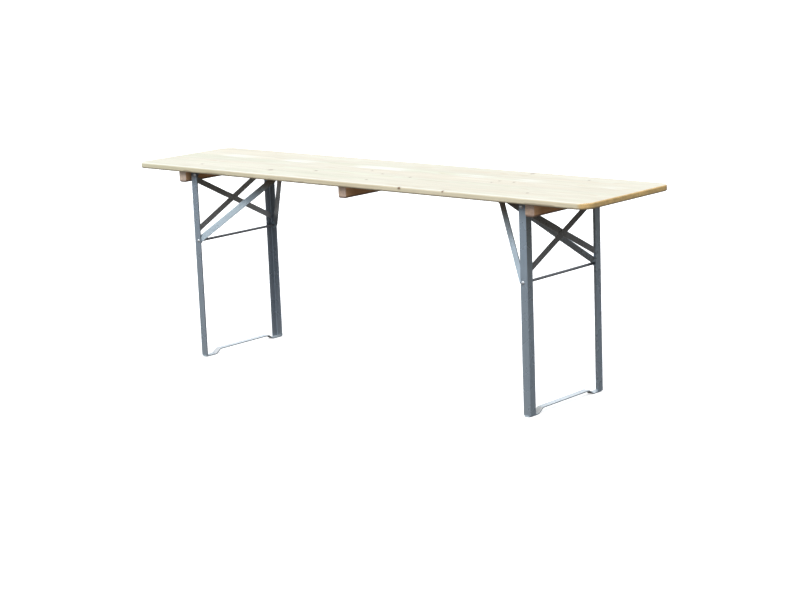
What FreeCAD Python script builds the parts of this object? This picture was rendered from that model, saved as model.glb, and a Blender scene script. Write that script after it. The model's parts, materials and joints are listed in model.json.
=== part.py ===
import FreeCAD, Part
import math
import os

# Folding trestle table: a glued board top on two folding leg frames of angle steel.
# Millimetres, +Z up. The origin is on the floor below the middle of the top. X runs along the
# length, -Y is the front, and the right-hand half is modelled and mirrored to the left.

# Table top of glued boards
table_height = 765.0
top_length = 2200.0
top_width = 500.0
top_thickness = 21.0
top_corner_radius = 45.0
top_upper_round = 5.0
top_lower_round = 3.0
board_seam_shares = (0.206, 0.412, 0.596, 0.718)

# Cross battens under the top
batten_width = 38.0
batten_height = 44.0
batten_edge_inset = 19.0
batten_edge_round = 8.0
batten_end_round = 3.0
batten_to_leg_gap = 11.5

# Angle-steel legs
leg_end_inset = 276.0
leg_edge_inset = 38.5
leg_flange = 30.0
leg_wall = 3.0
leg_root_round = 4.0
leg_toe_round = 1.5

# Leg hinges: a rivet through the leg and a bracket under the top
pivot_from_heel = 20.0
pivot_drop = 15.5
rivet_diameter = 8.0
rivet_head_diameter = 14.0
rivet_head_height = 4.0
rivet_tail_diameter = 12.0
rivet_tail_height = 2.5
bracket_sheet = 4.0
bracket_inboard = 27.0
bracket_outboard = 13.0
bracket_shoulder = 6.0
bracket_ear_radius = 12.0
bracket_base_depth = 38.0
bracket_bend_radius = 3.0
bracket_screw_spacing = 22.0

# Spacer rod with peened heads
rod_diameter = 10.0
rod_drop = 260.5
rod_head_diameter = 14.0
rod_head_height = 4.0

# Crossed flat braces on the inner faces of the legs
brace_width = 22.0
brace_thickness = 3.0
brace_low_drop = 219.0
brace_high_drop = 18.0
brace_joggle_land = 44.0
brace_joggle_ramp = 22.0
brace_bend_radius = 6.0

# Foot bar, arched between its two flat ends
foot_width = 25.0
foot_thickness = 4.0
foot_from_heel = 16.0
foot_overhang = 4.0
foot_flat_length = 54.5
foot_ramp_length = 26.0
foot_arch_rise = 16.5
foot_bend_radius = 4.0
foot_end_round = 10.0

# V strut of two flat bars on edge, joined by a cross pin at the apex
strut_width = 25.0
strut_thickness = 4.0
strut_pin_reach = 243.5
strut_pin_offset = 16.5
strut_pin_diameter = 10.0
strut_pin_length = 56.0
strut_pin_chamfer = 1.5
strut_eye_length = 24.0
strut_nose_length = 26.0
strut_nose_spacing = 35.0
strut_seat_width = 16.0
strut_seat_height = 13.5
strut_bend_radius = 6.0

# Guide rail: a shallow hat channel with an end stop
rail_depth = 8.0
rail_sheet = 3.0
rail_web = 50.0
rail_wall_run = 5.0
rail_flange = 18.0
rail_bend_radius = 1.0
rail_overrun = 20.0
rail_stop_drop = 9.0
rail_stop_thickness = 3.0
rail_stop_round = 3.0
rail_screw_shares = (0.08, 0.5, 0.92)

# Catch lever that hooks behind the strut pin, between the arms
lever_thickness = 6.0
lever_pivot_reach = 34.0
lever_pivot_drop = 16.0
lever_eye_radius = 8.0
lever_arm_height = 7.0
lever_tooth_thickness = 4.0
lever_tooth_height = 7.0
lever_tail_length = 92.0
lever_tail_height = 8.0
lever_pin_diameter = 6.0
lever_pin_head_diameter = 9.0
lever_pin_head_height = 2.0
clevis_sheet = 3.0
clevis_base_length = 48.0
clevis_bend_radius = 1.0
clevis_screw_spacing = 34.0

# Wood screws with pan heads, and the deep holes for those in the battens
screw_diameter = 4.5
screw_head_diameter = 9.0
screw_head_height = 2.5
screw_bite = 14.0
batten_counterbore_diameter = 12.0
batten_counterbore_depth = 16.0

# Clearances and tolerances
running_clearance = 0.08
fixed_clearance = 0.05
side_play = 0.3
slide_gap = 0.3
fold_gap = 15.0
cut_overrun = 5.0
place_tolerance = 0.01
parallel_tolerance = 1e-6

# Places that follow from the sizes above. The pivots stay so far out that the folded legs keep
# clear of the middle batten.
underside = table_height - top_thickness
batten_length = top_width - 2 * batten_edge_inset
leg_spread = top_width - 2 * leg_edge_inset
half_spread = leg_spread / 2
pivot_z = underside - pivot_drop
shortest_pivot_reach = pivot_z + batten_width / 2 + fold_gap
pivot_x = max(top_length / 2 - leg_end_inset - pivot_from_heel, shortest_pivot_reach)
leg_heel_reach = pivot_x + pivot_from_heel
tongue_radius = leg_flange - pivot_from_heel
rod_z = pivot_z - rod_drop
rail_face_z = underside - rail_depth
pin_x = pivot_x - strut_pin_reach
pin_z = rail_face_z - slide_gap - strut_pin_diameter / 2

# Strut: the pin stands off the middle plane of the two arms by strut_pin_offset
pin_distance = math.hypot(strut_pin_reach, pin_z - rod_z)
strut_length = math.sqrt(pin_distance ** 2 - strut_pin_offset ** 2)
pin_lead = math.atan2(strut_pin_offset, strut_length)
strut_rise = math.atan2(pin_z - rod_z, strut_pin_reach) - pin_lead
strut_rise_folded = math.asin((pin_z - pivot_z) / pin_distance) - pin_lead
pin_x_folded = pivot_x - rod_drop - pin_distance * math.cos(strut_rise_folded + pin_lead)

ORIGIN = FreeCAD.Vector(0, 0, 0)
ALONG_X = FreeCAD.Vector(1, 0, 0)
ALONG_Y = FreeCAD.Vector(0, 1, 0)
ALONG_Z = FreeCAD.Vector(0, 0, 1)


def point(x, y, z=0.0):
    return FreeCAD.Vector(x, y, z)


def box(low, high):
    size = high - low
    return Part.makeBox(size.x, size.y, size.z, low)


def cylinder(radius, start, end):
    return Part.makeCylinder(radius, (end - start).Length, start, end - start)


def polygon_face(corners):
    return Part.Face(Part.makePolygon(corners + corners[:1]))


def prism(face, width):
    """Solid of a face in the XY plane, of the given width, centred on that plane."""
    lowered = face.translated(point(0, 0, -width / 2))
    return lowered.extrude(point(0, 0, width))


def placed(shape, x_axis, y_axis, origin):
    """Shape with its own X and Y axes laid along the given directions, at the given origin."""
    z_axis = x_axis.cross(y_axis)
    matrix = FreeCAD.Matrix(
        x_axis.x, y_axis.x, z_axis.x, origin.x,
        x_axis.y, y_axis.y, z_axis.y, origin.y,
        x_axis.z, y_axis.z, z_axis.z, origin.z,
        0, 0, 0, 1)
    moved = shape.copy()
    moved.Placement = FreeCAD.Placement(matrix)
    return moved


def in_side_view(face, width, origin):
    """Solid of a face drawn with X to the right and Z up, centred on the origin's Y."""
    return placed(prism(face, width), ALONG_X, ALONG_Z, origin)


def in_end_view(face, width, origin):
    """Solid of a face drawn with Y to the right and Z up, centred on the origin's X."""
    return placed(prism(face, width), ALONG_Y, ALONG_Z, origin)


def strip_face(points, thickness, bend_radius):
    """Face of a strip of even thickness along a bent middle line, with round bends."""
    middle_radius = bend_radius + thickness / 2
    runs = [(after - before).normalize() for before, after in zip(points, points[1:])]
    normals = [point(-run.y, run.x) for run in runs]

    def side(offset):
        edges = []
        last = points[0] + normals[0] * offset
        for i, corner in enumerate(points[1:-1]):
            half_turn = runs[i].getAngle(runs[i + 1]) / 2
            setback = middle_radius * math.tan(half_turn)
            bisector = (normals[i] + normals[i + 1]).normalize()
            inward = 1 if runs[i].cross(runs[i + 1]).z > 0 else -1
            crown = middle_radius * (1 / math.cos(half_turn) - 1) * inward
            start = corner - runs[i] * setback + normals[i] * offset
            middle = corner + bisector * (crown + offset)
            end = corner + runs[i + 1] * setback + normals[i + 1] * offset
            edges.append(Part.LineSegment(last, start).toShape())
            edges.append(Part.Arc(start, middle, end).toShape())
            last = end
        finish = points[-1] + normals[-1] * offset
        edges.append(Part.LineSegment(last, finish).toShape())
        return edges, finish

    left, left_end = side(thickness / 2)
    right, right_end = side(-thickness / 2)
    start_cap = Part.LineSegment(points[0] + normals[0] * (thickness / 2),
                                 points[0] - normals[0] * (thickness / 2)).toShape()
    end_cap = Part.LineSegment(left_end, right_end).toShape()
    edges = Part.__sortEdges__(left + right + [start_cap, end_cap])
    return Part.Face(Part.Wire(edges))


def edges_along(shape, direction, test):
    """Straight edges that run along a direction and whose middle passes the test."""
    found = []
    for edge in shape.Edges:
        if not isinstance(edge.Curve, Part.Line):
            continue
        run = edge.Vertexes[-1].Point - edge.Vertexes[0].Point
        if run.cross(direction).Length < run.Length * parallel_tolerance and test(edge.CenterOfMass):
            found.append(edge)
    return found


def near(value, target):
    return abs(value - target) < place_tolerance


def domed_head(radius, height, base, direction):
    """Spherical cap on a flat base, pointing along a direction."""
    sphere_radius = (radius ** 2 + height ** 2) / (2 * height)
    half_angle = math.asin(radius / sphere_radius) / 2
    centre = height - sphere_radius
    rim = point(radius, 0, 0)
    flank = point(sphere_radius * math.sin(half_angle), 0, centre + sphere_radius * math.cos(half_angle))
    crown = point(0, 0, height)
    edges = [Part.LineSegment(ORIGIN, rim).toShape(), Part.Arc(rim, flank, crown).toShape(),
             Part.LineSegment(crown, ORIGIN).toShape()]
    head = Part.Face(Part.Wire(edges)).revolve(ORIGIN, ALONG_Z, 360)
    head.Placement = FreeCAD.Placement(base, FreeCAD.Rotation(ALONG_Z, direction))
    return head


def screw(seat, length):
    """Pan-head wood screw that points up, with its head just below the seat."""
    head_radius = screw_head_diameter / 2
    head = cylinder(head_radius, seat - point(0, 0, screw_head_height), seat)
    rim = [edge for edge in head.Edges if isinstance(edge.Curve, Part.Circle)
           and edge.CenterOfMass.z < seat.z - screw_head_height / 2]
    head = head.makeChamfer(screw_head_height / 2, rim)
    shank = cylinder(screw_diameter / 2, seat, seat + point(0, 0, length))
    return head.fuse(shank).removeSplitter()


def screw_hole(seat, length):
    low = seat - point(0, 0, cut_overrun)
    return cylinder(screw_diameter / 2 + fixed_clearance, low, seat + point(0, 0, length + fixed_clearance))


def mirror_front_back(shape):
    return shape.mirror(ORIGIN, ALONG_Y)


def mirror_left_right(shape):
    return shape.mirror(ORIGIN, ALONG_X)


# Places of the screws, as seats of their heads on the right-hand half
def board_edges():
    """Y of the two long edges of the top and of the seams between its boards."""
    shares = (0.0,) + board_seam_shares + (1.0,)
    return [top_width * (share - 0.5) for share in shares]


def batten_screw_seats(batten_x):
    """One screw for each board, in a deep hole in the batten."""
    edges = board_edges()
    seat_z = underside - batten_height + batten_counterbore_depth
    reach = batten_length / 2 - batten_counterbore_diameter
    middles = [(low + high) / 2 for low, high in zip(edges, edges[1:])]
    return [point(batten_x, max(-reach, min(reach, y)), seat_z) for y in middles]


def bracket_screw_seats():
    """Two screws in the base of each hinge bracket."""
    middle_x = pivot_x + (bracket_outboard - bracket_inboard) / 2
    y = half_spread - leg_wall - side_play - (bracket_base_depth + bracket_sheet) / 2
    z = underside - bracket_sheet
    return [point(middle_x + side * bracket_screw_spacing / 2, end * y, z)
            for end in (-1, 1) for side in (-1, 1)]


def rail_span():
    """X of the rail's inboard end, and of its outboard end at the stop."""
    return pin_x_folded - rail_overrun, pin_x + strut_pin_diameter / 2 + slide_gap


def rail_screw_seats():
    inboard, outboard = rail_span()
    y = rail_web / 2 + rail_wall_run + rail_flange / 2
    z = underside - rail_sheet
    return [point(inboard + share * (outboard - inboard), side * y, z)
            for share in rail_screw_shares for side in (-1, 1)]


def clevis_screw_seats():
    x = pin_x + lever_pivot_reach
    z = underside - clevis_sheet
    return [point(x + side * clevis_screw_spacing / 2, 0, z) for side in (-1, 1)]


def side_batten_x():
    return leg_heel_reach + batten_to_leg_gap + batten_width / 2


def both_sides(seats):
    return seats + [point(-seat.x, seat.y, seat.z) for seat in seats]


def all_batten_seats():
    return batten_screw_seats(0.0) + both_sides(batten_screw_seats(side_batten_x()))


def batten_screw_length():
    return batten_height - batten_counterbore_depth + screw_bite


# Wooden pieces
def make_boards():
    """The glued top with rounded corners and edges, cut into its boards at the seams."""
    half = point(top_length / 2, top_width / 2)
    panel = box(point(-half.x, -half.y, underside), point(half.x, half.y, table_height))
    panel = panel.makeFillet(top_corner_radius, edges_along(panel, ALONG_Z, lambda middle: True))
    upper = [edge for edge in panel.Edges if near(edge.BoundBox.ZMin, table_height)]
    panel = panel.makeFillet(top_upper_round, upper)
    lower = [edge for edge in panel.Edges if near(edge.BoundBox.ZMax, underside)]
    panel = panel.makeFillet(top_lower_round, lower)
    holes = [screw_hole(point(seat.x, seat.y, underside), screw_bite) for seat in all_batten_seats()]
    sheet_seats = ((bracket_sheet, bracket_screw_seats()), (rail_sheet, rail_screw_seats()),
                   (clevis_sheet, clevis_screw_seats()))
    for sheet, seats in sheet_seats:
        holes += [screw_hole(seat, sheet + screw_bite) for seat in both_sides(seats)]
    panel = panel.cut(Part.makeCompound(holes))
    boards = []
    for low, high in zip(board_edges(), board_edges()[1:]):
        slab = box(point(-half.x - cut_overrun, low, underside - cut_overrun),
                   point(half.x + cut_overrun, high, table_height + cut_overrun))
        boards.append(panel.common(slab))
    return boards


def make_batten(middle_x):
    """Cross batten with rounded lower edges and ends, drilled from below for its screws."""
    low = point(middle_x - batten_width / 2, -batten_length / 2, underside - batten_height)
    high = point(middle_x + batten_width / 2, batten_length / 2, underside)
    bar = box(low, high)
    bar = bar.makeFillet(batten_edge_round, edges_along(bar, ALONG_Y, lambda middle: near(middle.z, low.z)))
    ends = [edge for edge in bar.Edges
            if near(edge.BoundBox.YLength, 0) and not near(edge.BoundBox.ZMin, high.z)]
    bar = bar.makeFillet(batten_end_round, ends)
    holes = []
    for seat in batten_screw_seats(middle_x):
        below = point(seat.x, seat.y, low.z - cut_overrun)
        holes.append(cylinder(batten_counterbore_diameter / 2, below, seat))
        holes.append(screw_hole(seat, batten_screw_length()))
    return bar.cut(Part.makeCompound(holes))


# Leg frame, right-hand side
def make_leg():
    """Front leg: an angle with its heel outboard, rounded off round the hinge rivet."""
    heel = point(leg_heel_reach, -half_spread)
    outline = [heel, heel + point(0, leg_flange), heel + point(-leg_wall, leg_flange),
               heel + point(-leg_wall, leg_wall), heel + point(-leg_flange, leg_wall),
               heel + point(-leg_flange, 0)]
    top = pivot_z + tongue_radius
    leg = polygon_face(outline).translated(point(0, 0, foot_thickness))
    leg = leg.extrude(point(0, 0, top - foot_thickness))
    root, inner_toes = outline[3], (outline[2], outline[4])

    def edges_at(corners):
        return edges_along(leg, ALONG_Z, lambda middle: any(
            near(middle.x, corner.x) and near(middle.y, corner.y) for corner in corners))

    leg = leg.makeFillet(leg_root_round, edges_at((root,)))
    leg = leg.makeFillet(leg_toe_round, edges_at(inner_toes))
    front = heel.y - cut_overrun
    behind = heel.y + leg_wall + cut_overrun
    corner = box(point(heel.x - leg_flange - cut_overrun, front, pivot_z),
                 point(pivot_x, behind, top + cut_overrun))
    tongue = cylinder(tongue_radius, point(pivot_x, front, pivot_z), point(pivot_x, behind, pivot_z))
    rivet_hole = cylinder(rivet_diameter / 2 + running_clearance,
                          point(pivot_x, front, pivot_z), point(pivot_x, behind, pivot_z))
    rod_hole = cylinder(rod_diameter / 2 + fixed_clearance,
                        point(pivot_x, front, rod_z), point(pivot_x, behind, rod_z))
    return leg.cut(corner.cut(tongue)).cut(rivet_hole).cut(rod_hole)


def make_brace(joggle):
    """Flat brace from low on the front leg to high on the back leg, stepped over at its middle."""
    leg_middle = half_spread - leg_flange / 2
    low_z = pivot_z - brace_low_drop
    high_z = pivot_z - brace_high_drop
    along = point(0, 2 * leg_middle, high_z - low_z).normalize()
    half_length = half_spread / along.y
    land = brace_joggle_land / 2
    middle_line = [point(-half_length, 0), point(half_length, 0)]
    if joggle:
        step = [point(-land - brace_joggle_ramp, 0), point(-land, joggle),
                point(land, joggle), point(land + brace_joggle_ramp, 0)]
        middle_line[1:1] = step
    strip = prism(strip_face(middle_line, brace_thickness, brace_bend_radius), brace_width)
    plane_x = leg_heel_reach - leg_wall - brace_thickness / 2
    bar = placed(strip, along, -ALONG_X, point(plane_x, 0, (low_z + high_z) / 2))
    reach = half_spread - leg_wall - leg_root_round - side_play
    limits = box(point(plane_x - 2 * brace_width, -reach, low_z - 2 * brace_width),
                 point(plane_x + 2 * brace_width, reach, high_z + 2 * brace_width))
    return bar.common(limits)


def make_rod():
    """Round rod between the front and back legs, with a peened head outside each."""
    start = point(pivot_x, -half_spread, rod_z)
    end = point(pivot_x, half_spread, rod_z)
    rod = cylinder(rod_diameter / 2, start, end)
    for base, outward in ((start, -ALONG_Y), (end, ALONG_Y)):
        rod = rod.fuse(domed_head(rod_head_diameter / 2, rod_head_height, base, outward))
    return rod.removeSplitter()


def make_foot_bar():
    """Flat bar under both legs, flat on the floor at its ends and arched between them."""
    end = half_spread + foot_overhang
    flat = end - foot_flat_length
    ramp = flat - foot_ramp_length
    low = foot_thickness / 2
    high = low + foot_arch_rise
    middle_line = [point(-end, low), point(-flat, low), point(-ramp, high),
                   point(ramp, high), point(flat, low), point(end, low)]
    middle_x = leg_heel_reach - foot_from_heel
    bar = in_end_view(strip_face(middle_line, foot_thickness, foot_bend_radius), foot_width,
                      point(middle_x, 0, 0))
    corners = edges_along(bar, ALONG_Z, lambda middle: near(abs(middle.y), end))
    return bar.makeFillet(foot_end_round, corners)


# V strut, right-hand side, drawn lying along -X from the rod and then turned up to its slope
def strut_raised(shape):
    shape.rotate(ORIGIN, ALONG_Y, math.degrees(strut_rise))
    shape.translate(point(pivot_x, 0, rod_z))
    return shape


def lying_pin_axis(radius, half_length):
    start = point(-strut_length, -half_length, strut_pin_offset)
    return cylinder(radius, start, start + point(0, 2 * half_length, 0))


def make_strut_arm():
    """Front arm: a flat bar on edge with an eye on the rod and a seat for the cross pin."""
    half_width = strut_width / 2
    eye_y = -(half_spread - leg_wall - 2 * side_play - strut_thickness / 2)
    nose_y = -strut_nose_spacing / 2
    nose_x = strut_nose_length - strut_length
    middle_line = [point(half_width, eye_y), point(half_width - strut_eye_length, eye_y),
                   point(nose_x, nose_y), point(-strut_length - half_width, nose_y)]
    strip = prism(strip_face(middle_line, strut_thickness, strut_bend_radius), 2 * strut_width)
    reach = half_spread + cut_overrun
    side_view = [point(0, -half_width), point(0, half_width), point(-strut_length, half_width),
                 point(-strut_length, -half_width)]
    outline = in_side_view(polygon_face(side_view), 2 * reach, ORIGIN)
    for x in (0, -strut_length):
        outline = outline.fuse(cylinder(half_width, point(x, -reach, 0), point(x, reach, 0)))
    seat = box(point(-strut_length - strut_seat_width / 2, -reach, 0),
               point(-strut_length + strut_seat_width / 2, reach, strut_seat_height))
    arm = strip.common(outline.fuse(seat))
    eye = cylinder(rod_diameter / 2 + running_clearance, point(0, -reach, 0), point(0, reach, 0))
    arm = arm.cut(eye).cut(lying_pin_axis(strut_pin_diameter / 2 + fixed_clearance, reach))
    return strut_raised(arm.removeSplitter())


def make_strut_pin():
    """Cross pin through both arms, chamfered at its ends."""
    pin = lying_pin_axis(strut_pin_diameter / 2, strut_pin_length / 2)
    rims = [edge for edge in pin.Edges if isinstance(edge.Curve, Part.Circle)]
    return strut_raised(pin.makeChamfer(strut_pin_chamfer, rims))


# Pieces fixed under the top, right-hand side
def make_bracket():
    """Front hinge bracket: a base under the top and a rounded ear beside the leg."""
    ear_y = -(half_spread - leg_wall - side_play - bracket_sheet / 2)
    base_z = underside - bracket_sheet / 2
    middle_line = [point(ear_y, pivot_z - bracket_ear_radius), point(ear_y, base_z),
                   point(ear_y + bracket_base_depth, base_z)]
    width = bracket_inboard + bracket_outboard
    middle_x = pivot_x + (bracket_outboard - bracket_inboard) / 2
    folded = in_end_view(strip_face(middle_line, bracket_sheet, bracket_bend_radius), width,
                         point(middle_x, 0, 0))
    shoulder = pivot_drop - bracket_shoulder
    corners = [point(-bracket_ear_radius, 0), point(-bracket_inboard, shoulder),
               point(-bracket_inboard, pivot_drop), point(bracket_outboard, pivot_drop),
               point(bracket_outboard, shoulder), point(bracket_ear_radius, 0)]
    outline = in_side_view(polygon_face(corners), top_width, point(pivot_x, 0, pivot_z))
    front, middle = point(pivot_x, -half_spread, pivot_z), point(pivot_x, 0, pivot_z)
    bracket = folded.common(outline.fuse(cylinder(bracket_ear_radius, front, middle)))
    hole = cylinder(rivet_diameter / 2 + fixed_clearance, front, middle)
    holes = [hole] + [screw_hole(seat, bracket_sheet + cut_overrun) for seat in bracket_screw_seats()[:2]]
    return bracket.cut(Part.makeCompound(holes)).removeSplitter()


def make_rivet():
    """Front hinge rivet: a domed head outside the leg and a closed tail inside the ear."""
    head_y = -half_spread - side_play
    tail_y = -half_spread + leg_wall + side_play + bracket_sheet
    start = point(pivot_x, head_y, pivot_z)
    end = point(pivot_x, tail_y, pivot_z)
    rivet = cylinder(rivet_diameter / 2, start, end)
    rivet = rivet.fuse(domed_head(rivet_head_diameter / 2, rivet_head_height, start, -ALONG_Y))
    rivet = rivet.fuse(domed_head(rivet_tail_diameter / 2, rivet_tail_height, end, ALONG_Y))
    return rivet.removeSplitter()


def make_rail():
    """Hat channel whose lower face the strut pin runs along."""
    web = rail_web / 2
    shoulder = web + rail_wall_run
    high = underside - rail_sheet / 2
    low = rail_face_z + rail_sheet / 2
    right = [point(web, low), point(shoulder, high), point(shoulder + rail_flange, high)]
    left = [point(-place.x, place.y) for place in reversed(right)]
    inboard, outboard = rail_span()
    rail = in_end_view(strip_face(left + right, rail_sheet, rail_bend_radius), outboard - inboard,
                       point((inboard + outboard) / 2, 0, 0))
    holes = [screw_hole(seat, rail_sheet + cut_overrun) for seat in rail_screw_seats()]
    return rail.cut(Part.makeCompound(holes))


def make_rail_stop():
    """Plate that closes the outboard end of the rail and stops the strut pin."""
    web = rail_web / 2
    bottom = rail_face_z - rail_stop_drop
    corners = [point(-web, bottom), point(web, bottom), point(web, rail_face_z),
               point(web + rail_wall_run, underside), point(-web - rail_wall_run, underside),
               point(-web, rail_face_z)]
    middle_x = rail_span()[1] + rail_stop_thickness / 2
    plate = in_end_view(polygon_face(corners), rail_stop_thickness, point(middle_x, 0, 0))
    lower = edges_along(plate, ALONG_X, lambda middle: near(middle.z, bottom))
    return plate.makeFillet(rail_stop_round, lower)


def lever_pivot():
    return point(pin_x + lever_pivot_reach, 0, underside - lever_pivot_drop)


def make_catch_lever():
    """Rocking lever: a hook under and behind the strut pin, an eye, and a long finger tail."""
    pivot = lever_pivot()
    tooth_front = pin_x - strut_pin_diameter / 2 - slide_gap - pivot.x
    tooth_back = tooth_front - lever_tooth_thickness
    arm_top = pin_z - strut_pin_diameter / 2 - slide_gap - pivot.z
    arm_bottom = arm_top - lever_arm_height
    tooth_top = arm_top + lever_tooth_height
    tail_bottom = -lever_tail_height
    tail_end = lever_tail_length - lever_tail_height / 2
    corners = [point(tooth_back, arm_bottom), point(0, arm_bottom), point(0, tail_bottom),
               point(tail_end, tail_bottom), point(tail_end, 0), point(0, 0),
               point(-lever_eye_radius, arm_top), point(tooth_front, arm_top), point(tooth_front, tooth_top),
               point(tooth_back, tooth_top - lever_tooth_thickness)]
    lever = in_side_view(polygon_face(corners), lever_thickness, pivot)
    across = point(0, lever_thickness / 2, 0)
    tail_middle = pivot + point(tail_end, 0, tail_bottom / 2)
    lever = lever.fuse(cylinder(lever_eye_radius, pivot - across, pivot + across))
    lever = lever.fuse(cylinder(lever_tail_height / 2, tail_middle - across, tail_middle + across))
    hole = cylinder(lever_pin_diameter / 2 + running_clearance, pivot - across * 2, pivot + across * 2)
    return lever.cut(hole).removeSplitter()


def make_catch_bracket():
    """Clevis under the top with a cheek on each side of the catch lever."""
    pivot = lever_pivot()
    cheek = lever_thickness / 2 + side_play + clevis_sheet / 2
    base_z = underside - clevis_sheet / 2
    foot_z = pivot.z - lever_eye_radius
    middle_line = [point(-cheek, foot_z), point(-cheek, base_z), point(cheek, base_z), point(cheek, foot_z)]
    folded = in_end_view(strip_face(middle_line, clevis_sheet, clevis_bend_radius), 2 * lever_eye_radius,
                         point(pivot.x, pivot.y, 0))
    across = point(0, cheek + clevis_sheet, 0)
    upper = box(point(pivot.x - lever_eye_radius, pivot.y - across.y, pivot.z),
                point(pivot.x + lever_eye_radius, pivot.y + across.y, underside))
    rounded = upper.fuse(cylinder(lever_eye_radius, pivot - across, pivot + across))
    half_base = clevis_base_length / 2
    half_depth = cheek + clevis_sheet / 2
    base = box(point(pivot.x - half_base, pivot.y - half_depth + clevis_sheet, underside - clevis_sheet),
               point(pivot.x + half_base, pivot.y + half_depth - clevis_sheet, underside))
    bracket = folded.common(rounded).fuse(base)
    holes = [cylinder(lever_pin_diameter / 2 + fixed_clearance, pivot - across, pivot + across)]
    holes += [screw_hole(seat, clevis_sheet + cut_overrun) for seat in clevis_screw_seats()]
    return bracket.cut(Part.makeCompound(holes)).removeSplitter()


def make_catch_pin():
    """Hinge pin of the catch lever, with a flat head outside each cheek."""
    pivot = lever_pivot()
    half = lever_thickness / 2 + side_play + clevis_sheet
    pin = cylinder(lever_pin_diameter / 2, pivot - point(0, half, 0), pivot + point(0, half, 0))
    for outward in (-1, 1):
        base = pivot + point(0, outward * half, 0)
        tip = base + point(0, outward * lever_pin_head_height, 0)
        pin = pin.fuse(cylinder(lever_pin_head_diameter / 2, base, tip))
    return pin.removeSplitter()


def make_right_half():
    """Every piece of the right-hand leg frame, strut, rail and catch, by name."""
    leg, arm, bracket, rivet = make_leg(), make_strut_arm(), make_bracket(), make_rivet()
    return {
        "leg_front": leg,
        "leg_back": mirror_front_back(leg),
        "cross_brace_flat": make_brace(0.0),
        "cross_brace_stepped": mirror_front_back(make_brace(brace_thickness)),
        "spacer_rod": make_rod(),
        "foot_bar": make_foot_bar(),
        "strut_arm_front": arm,
        "strut_arm_back": mirror_front_back(arm),
        "strut_pin": make_strut_pin(),
        "hinge_bracket_front": bracket,
        "hinge_bracket_back": mirror_front_back(bracket),
        "hinge_rivets": Part.makeCompound([rivet, mirror_front_back(rivet)]),
        "guide_rail": make_rail(),
        "rail_stop": make_rail_stop(),
        "catch_lever": make_catch_lever(),
        "catch_bracket": make_catch_bracket(),
        "catch_pin": make_catch_pin(),
    }


def screw_group(seats, length):
    return Part.makeCompound([screw(seat, length) for seat in seats])


def make_all():
    pieces = {f"top_board_{i + 1}": board for i, board in enumerate(make_boards())}
    pieces["batten_middle"] = make_batten(0.0)
    pieces["batten_right"] = make_batten(side_batten_x())
    pieces["batten_left"] = mirror_left_right(pieces["batten_right"])
    for name, shape in make_right_half().items():
        pieces[f"right_{name}"] = shape
        pieces[f"left_{name}"] = mirror_left_right(shape)
    pieces["batten_screws"] = screw_group(all_batten_seats(), batten_screw_length())
    pieces["bracket_screws"] = screw_group(both_sides(bracket_screw_seats()), bracket_sheet + screw_bite)
    pieces["rail_screws"] = screw_group(both_sides(rail_screw_seats()), rail_sheet + screw_bite)
    pieces["catch_screws"] = screw_group(both_sides(clevis_screw_seats()), clevis_sheet + screw_bite)
    return pieces


os.makedirs("parts", exist_ok=True)
for node, solid in make_all().items():
    solid.exportStep(f"parts/{node}.step")
    print(node, len(solid.Solids), solid.isValid(), round(solid.Volume))
print("pivot", pivot_x, pivot_z, "rod", rod_z, "pin", pin_x, pin_z, "lever", lever_pivot())
print("strut turn", math.degrees(strut_rise_folded - strut_rise) - 90)
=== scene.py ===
import json
import math
import random

import bmesh
import bpy
from mathutils import Matrix, Vector


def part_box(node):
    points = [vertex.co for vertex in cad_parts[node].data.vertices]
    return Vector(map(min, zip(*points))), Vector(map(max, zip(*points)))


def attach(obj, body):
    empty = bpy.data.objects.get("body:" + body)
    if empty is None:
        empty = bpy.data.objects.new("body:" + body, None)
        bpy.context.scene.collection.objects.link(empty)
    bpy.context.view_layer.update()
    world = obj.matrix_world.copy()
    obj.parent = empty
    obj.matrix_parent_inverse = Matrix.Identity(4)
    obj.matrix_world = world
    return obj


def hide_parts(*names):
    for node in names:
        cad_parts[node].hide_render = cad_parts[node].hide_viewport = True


# Folding trestle table: the looks of a glued spruce top, red-brown battens and grey painted steel.
# Metres, +Z up, X along the length, -Y to the front.
# A pair of limits is (where a smooth step starts, where it ends), so a falling step has the greater first.

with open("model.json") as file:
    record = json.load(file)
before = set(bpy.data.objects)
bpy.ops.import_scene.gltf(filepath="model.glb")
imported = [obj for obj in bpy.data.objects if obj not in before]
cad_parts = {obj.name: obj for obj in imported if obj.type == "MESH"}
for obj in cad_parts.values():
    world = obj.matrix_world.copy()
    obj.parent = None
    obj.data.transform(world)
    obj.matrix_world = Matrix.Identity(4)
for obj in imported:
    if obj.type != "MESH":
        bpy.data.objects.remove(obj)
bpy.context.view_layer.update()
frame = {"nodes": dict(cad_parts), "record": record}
nodes = frame["nodes"]


# Colours and material nodes
WHITE = (1.0, 1.0, 1.0)


def rgb(red, green, blue):
    return (red, green, blue, 1.0)


def scaled_colour(colour, shares):
    """Colour times one share for each channel."""
    return rgb(*(channel * share for channel, share in zip(colour, shares)))


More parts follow.
